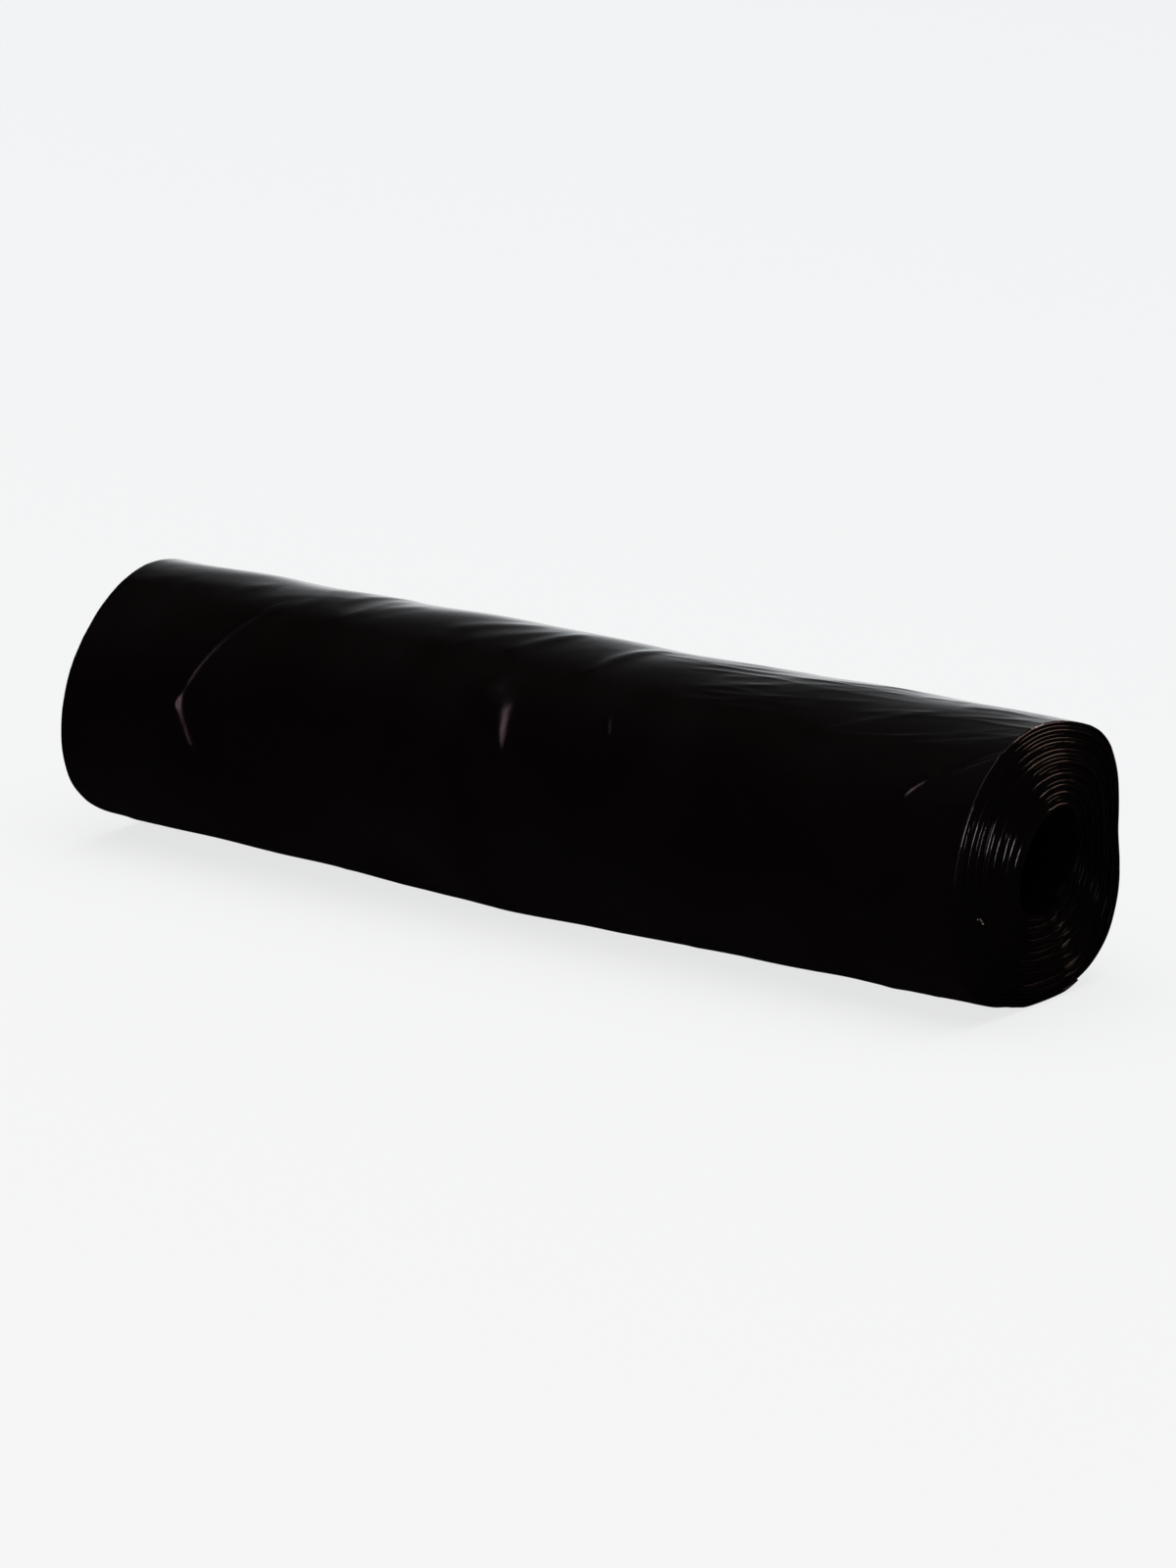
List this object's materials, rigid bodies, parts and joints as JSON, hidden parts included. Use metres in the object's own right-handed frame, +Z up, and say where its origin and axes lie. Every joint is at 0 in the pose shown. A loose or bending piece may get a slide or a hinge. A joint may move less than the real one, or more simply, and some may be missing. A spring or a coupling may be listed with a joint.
{
  "type": "bin bag roll",
  "caption": "Coreless roll of black bin bags: a folded film web wound in a spiral, open hollow through it, loose tail, lying on a small flat spot.",
  "frame": {"origin": "middle of the flat spot that the roll lies on, half way along it", "axes": "+X along the roll to its near end, +Y to its back, +Z up out of the ground"},
  "size_m": [0.3504, 0.0885, 0.0863],
  "materials": {
    "black_film": "glossy blown low-density polythene film, black through, softly wrinkled"
  },
  "bodies": {
    "root": {"bag_roll": "black_film"}
  },
  "joints": []
}
